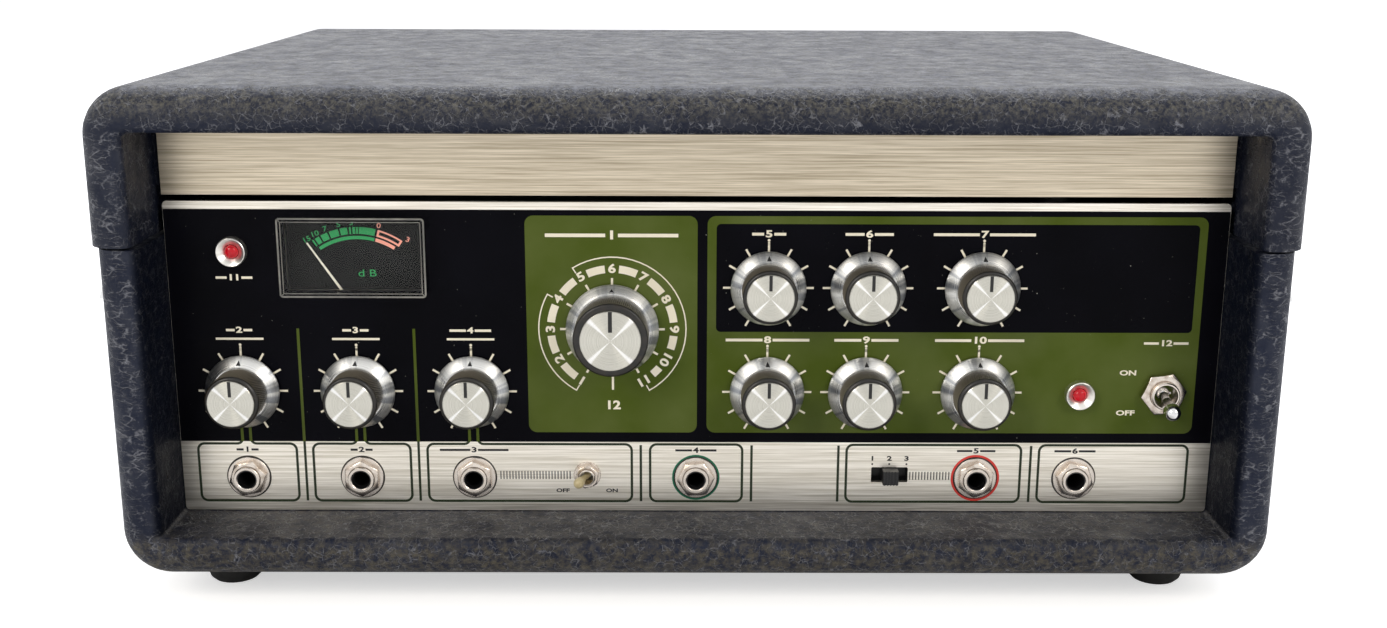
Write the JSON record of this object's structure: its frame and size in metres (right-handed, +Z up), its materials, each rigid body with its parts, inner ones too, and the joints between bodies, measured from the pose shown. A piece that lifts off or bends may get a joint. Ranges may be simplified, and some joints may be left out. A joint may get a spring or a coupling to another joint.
{
  "type": "tape echo unit",
  "caption": "Tape echo unit in a vinyl covered case: brushed metal panel with knobs, meter, switches and plug sockets, hinged lid over a tape loop transport.",
  "frame": {"origin": "on the surface it stands on, under the middle of its bounding box", "axes": "+X to the right seen from the front, the front faces -Y, +Z up"},
  "size_m": [0.4313, 0.3063, 0.185],
  "materials": {
    "vinyl_board": "plywood covered in black grained vinyl",
    "panel": "brushed along its length, printed black and olive green",
    "title": "brushed along its length",
    "zinc_steel": "zinc plated sheet",
    "black_steel": "satin black paint",
    "clear_cover": "clear acrylic sheet",
    "tape": "brown oxide tape",
    "head_metal": "polished shields and posts",
    "phenolic": "moulded black phenolic",
    "motor_metal": "grey paint",
    "bearing_metal": "turned bearing bronze",
    "core": "varnished laminations",
    "board": "green circuit board",
    "pot_metal": "plated cans",
    "nut": "nickel plated, a little dull",
    "dial": "printed black dial",
    "lens": "clear red",
    "bezel": "plated",
    "switch_metal": "nickel plated",
    "rubber": "black rubber",
    "chrome": "polished plate",
    "strap": "ribbed black strap",
    "flywheel": "turned disc",
    "pulley": "turned",
    "needle": "white",
    "knob": "spun disc and bevelled skirt with a black fluted grip",
    "lever": "polished",
    "cream": "aged ivory plastic"
  },
  "bodies": {
    "case": {"case_shell": "vinyl_board", "front_panel": "panel", "chassis_tray": "zinc_steel", "rear_panel": "black_steel", "deck_plate": "black_steel", "tape_bin": "black_steel", "tape_cover": "clear_cover", "tape_loop": "tape", "head_block": "head_metal", "head_cover": "phenolic", "drive_motor": "motor_metal", "capstan_bearing": "bearing_metal", "power_transformer": "core", "reverb_tank": "zinc_steel", "main_board": "board", "control_pots": "pot_metal", "mode_switch": "pot_metal", "jack_sockets": "phenolic", "jack_nuts": "nut", "meter_case": "phenolic", "meter_dial": "dial", "meter_window": "clear_cover", "lamp_bezels": "bezel", "lamp_lenses": "lens", "power_switch": "switch_metal", "echo_switch": "switch_metal", "slide_switch": "black_steel", "floor_feet": "rubber", "side_feet": "rubber", "carry_strap": "strap", "strap_ends": "chrome", "latch_strikes": "chrome", "hinge_case_leaves": "chrome", "cord_gland": "rubber", "fuse_holder": "phenolic", "drive_belt": "rubber"},
    "lid": {"lid_shell": "vinyl_board", "title_strip": "title", "latch_plates": "chrome", "hinge_lid_leaves": "chrome"},
    "left_latch": {"left_latch": "chrome"},
    "right_latch": {"right_latch": "chrome"},
    "flywheel": {"flywheel": "flywheel"},
    "motor_pulley": {"motor_pulley": "pulley"},
    "pinch_arm": {"pinch_arm": "zinc_steel"},
    "pinch_roller": {"pinch_roller": "rubber"},
    "meter_needle": {"meter_needle": "needle"},
    "power_lever": {"power_lever": "lever"},
    "echo_lever": {"echo_lever": "cream"},
    "slide_knob": {"slide_knob": "phenolic"},
    "mic_1_knob": {"mic_1_knob": "knob"},
    "mic_2_knob": {"mic_2_knob": "knob"},
    "instrument_knob": {"instrument_knob": "knob"},
    "bass_knob": {"bass_knob": "knob"},
    "treble_knob": {"treble_knob": "knob"},
    "reverb_knob": {"reverb_knob": "knob"},
    "rate_knob": {"rate_knob": "knob"},
    "intensity_knob": {"intensity_knob": "knob"},
    "echo_knob": {"echo_knob": "knob"},
    "mode_knob": {"mode_knob": "knob"}
  },
  "joints": [
    {"name": "lid_hinge", "type": "hinge", "parent": "case", "child": "lid", "pos_m": [0, 0.15015, 0.131], "axis": [-1, 0, 0], "range_deg": [0, 100]},
    {"name": "left_latch_hinge", "type": "hinge", "parent": "lid", "child": "left_latch", "pos_m": [-0.2088, -0.10715, 0.138], "axis": [0, 1, 0], "range_deg": [0, 120]},
    {"name": "right_latch_hinge", "type": "hinge", "parent": "lid", "child": "right_latch", "pos_m": [0.2088, -0.10715, 0.138], "axis": [0, -1, 0], "range_deg": [0, 120]},
    {"name": "mic_1_knob_turn", "type": "hinge", "parent": "case", "child": "mic_1_knob", "pos_m": [-0.1635, -0.12415, 0.0734], "axis": [0, 1, 0], "range_deg": [-150, 150]},
    {"name": "mic_2_knob_turn", "type": "hinge", "parent": "case", "child": "mic_2_knob", "pos_m": [-0.122, -0.12415, 0.0734], "axis": [0, 1, 0], "range_deg": [-150, 150]},
    {"name": "instrument_knob_turn", "type": "hinge", "parent": "case", "child": "instrument_knob", "pos_m": [-0.081, -0.12415, 0.0734], "axis": [0, 1, 0], "range_deg": [-150, 150]},
    {"name": "bass_knob_turn", "type": "hinge", "parent": "case", "child": "bass_knob", "pos_m": [0.0253, -0.12415, 0.112], "axis": [0, 1, 0], "range_deg": [-150, 150]},
    {"name": "treble_knob_turn", "type": "hinge", "parent": "case", "child": "treble_knob", "pos_m": [0.0607, -0.12415, 0.112], "axis": [0, 1, 0], "range_deg": [-150, 150]},
    {"name": "reverb_knob_turn", "type": "hinge", "parent": "case", "child": "reverb_knob", "pos_m": [0.1013, -0.12415, 0.112], "axis": [0, 1, 0], "range_deg": [-150, 150]},
    {"name": "rate_knob_turn", "type": "hinge", "parent": "case", "child": "rate_knob", "pos_m": [0.0253, -0.12415, 0.0734], "axis": [0, 1, 0], "range_deg": [-150, 150]},
    {"name": "intensity_knob_turn", "type": "hinge", "parent": "case", "child": "intensity_knob", "pos_m": [0.0607, -0.12415, 0.0734], "axis": [0, 1, 0], "range_deg": [-150, 150]},
    {"name": "echo_knob_turn", "type": "hinge", "parent": "case", "child": "echo_knob", "pos_m": [0.1013, -0.12415, 0.0734], "axis": [0, 1, 0], "range_deg": [-150, 150]},
    {"name": "mode_knob_turn", "type": "hinge", "parent": "case", "child": "mode_knob", "pos_m": [-0.0302, -0.12415, 0.0967], "axis": [0, 1, 0], "range_deg": [-150, 180]},
    {"name": "power_lever_tilt", "type": "hinge", "parent": "case", "child": "power_lever", "pos_m": [0.1683, -0.12415, 0.0734], "axis": [-1, 0, 0], "range_deg": [0, 28]},
    {"name": "echo_lever_tilt", "type": "hinge", "parent": "case", "child": "echo_lever", "pos_m": [-0.0399, -0.12415, 0.0416], "axis": [0, 0, 1], "range_deg": [0, 30]},
    {"name": "slide_knob_slide", "type": "slide", "parent": "case", "child": "slide_knob", "axis": [1, 0, 0], "range_m": [-0.0037, 0.0037]},
    {"name": "needle_swing", "type": "hinge", "parent": "case", "child": "meter_needle", "pos_m": [-0.1232, -0.12415, 0.1042], "axis": [0, 1, 0], "range_deg": [0, 72]},
    {"name": "capstan_spin", "type": "hinge", "parent": "case", "child": "flywheel", "pos_m": [0.104, -0.0625, 0.13], "axis": [0, 0, 1], "continuous": true},
    {"name": "pulley_spin", "type": "hinge", "parent": "case", "child": "motor_pulley", "pos_m": [0.01, -0.02, 0.13], "axis": [0, 0, 1], "continuous": true},
    {"name": "pinch_arm_swing", "type": "hinge", "parent": "case", "child": "pinch_arm", "pos_m": [0.134, -0.088, 0.15], "axis": [0, 0, 1], "range_deg": [0, 14]},
    {"name": "pinch_roller_spin", "type": "hinge", "parent": "pinch_arm", "child": "pinch_roller", "pos_m": [0.104, -0.0745, 0.147], "axis": [0, 0, 1], "continuous": true}
  ],
  "couplings": [
    {"joint": "pulley_spin", "follows": "capstan_spin", "ratio": 5},
    {"joint": "pinch_roller_spin", "follows": "capstan_spin", "ratio": -0.375}
  ]
}
